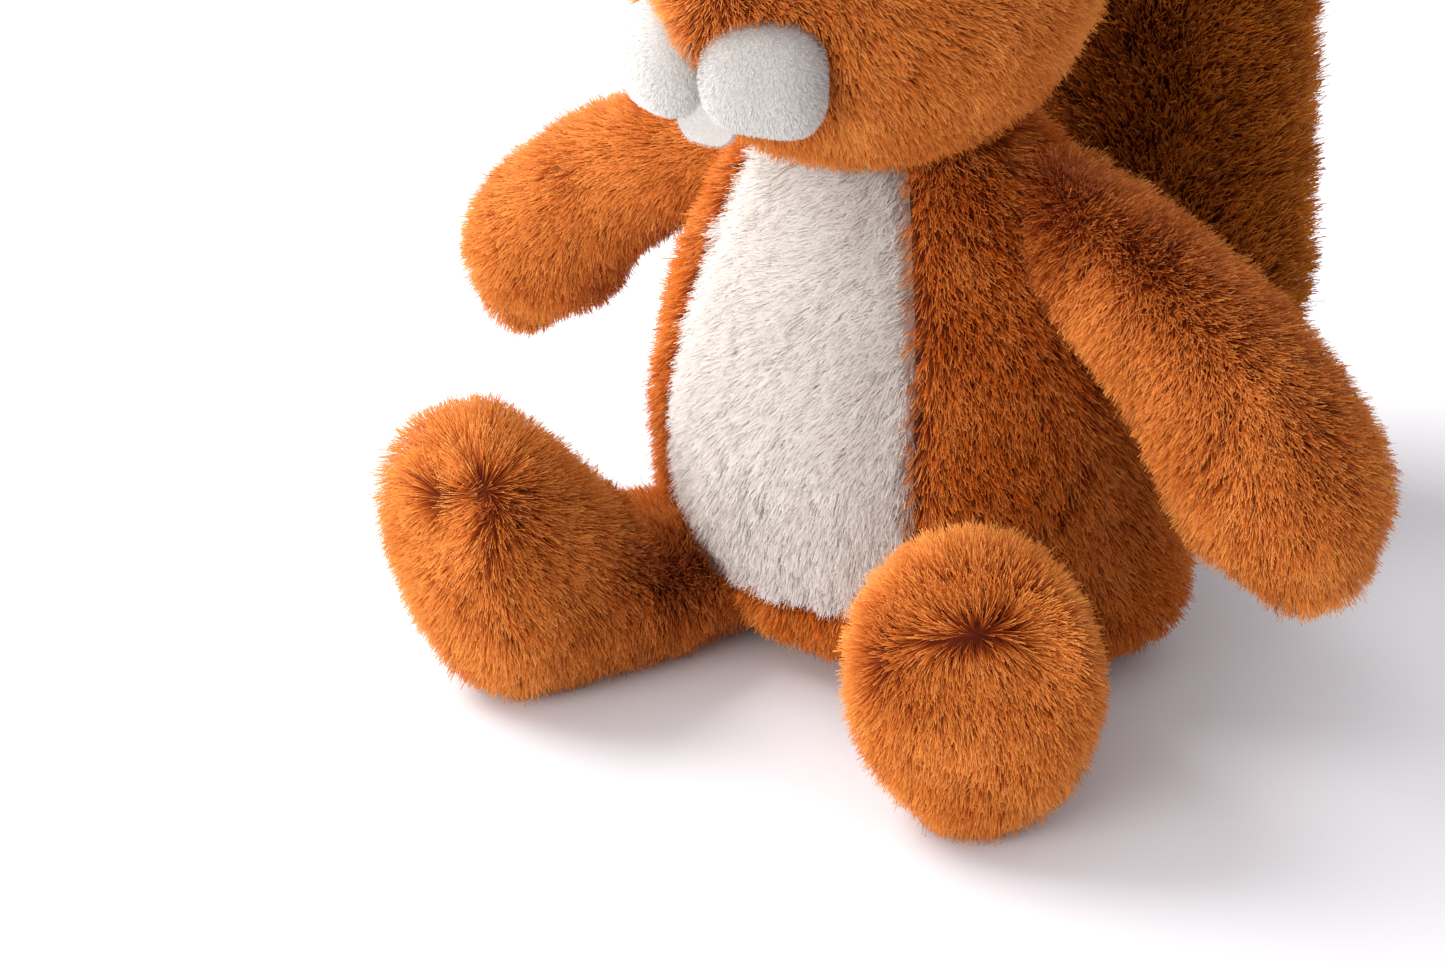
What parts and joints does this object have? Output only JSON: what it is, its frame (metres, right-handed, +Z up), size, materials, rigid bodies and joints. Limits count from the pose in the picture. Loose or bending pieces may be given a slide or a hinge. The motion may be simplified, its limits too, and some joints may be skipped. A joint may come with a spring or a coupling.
{
  "type": "plush squirrel",
  "caption": "Seated soft plush squirrel with rounded pile-fabric body, pale belly panel, outstretched limbs, puffed muzzle and an upright bushy tail.",
  "frame": {"origin": "middle of the flat seat, on the surface that the toy sits on", "axes": "+Z up, the toy faces -Y, +X is the toy's own left"},
  "size_m": [0.284, 0.2946, 0.2608],
  "materials": {
    "orange_pile": "long soft pile, matte with a slight sheen",
    "cream_pile": "long soft pile, cream",
    "tail_pile": "longer pile, dark brown with golden brown tips",
    "white_plush": "short velvety pile, white",
    "white_felt": "smooth felt, white",
    "black_plastic": "glossy black safety eye and nose",
    "washer_plastic": "plain moulded locking washer",
    "stuffing": "loose polyester fibre filling"
  },
  "bodies": {
    "root": {"arm_left_cover": "orange_pile", "arm_left_stuffing": "stuffing", "arm_right_cover": "orange_pile", "arm_right_stuffing": "stuffing", "belly_panel": "cream_pile", "body_cover": "orange_pile", "body_stuffing": "stuffing", "ear_left": "orange_pile", "ear_left_lining": "cream_pile", "ear_right": "orange_pile", "ear_right_lining": "cream_pile", "eye_left": "black_plastic", "eye_left_washer": "washer_plastic", "eye_right": "black_plastic", "eye_right_washer": "washer_plastic", "front_tooth": "white_felt", "head_cover": "orange_pile", "head_stuffing": "stuffing", "leg_left_cover": "orange_pile", "leg_left_stuffing": "stuffing", "leg_right_cover": "orange_pile", "leg_right_stuffing": "stuffing", "muzzle_left": "white_plush", "muzzle_right": "white_plush", "nose": "black_plastic", "nose_washer": "washer_plastic", "tail_cover": "tail_pile", "tail_stuffing": "stuffing"}
  },
  "joints": []
}
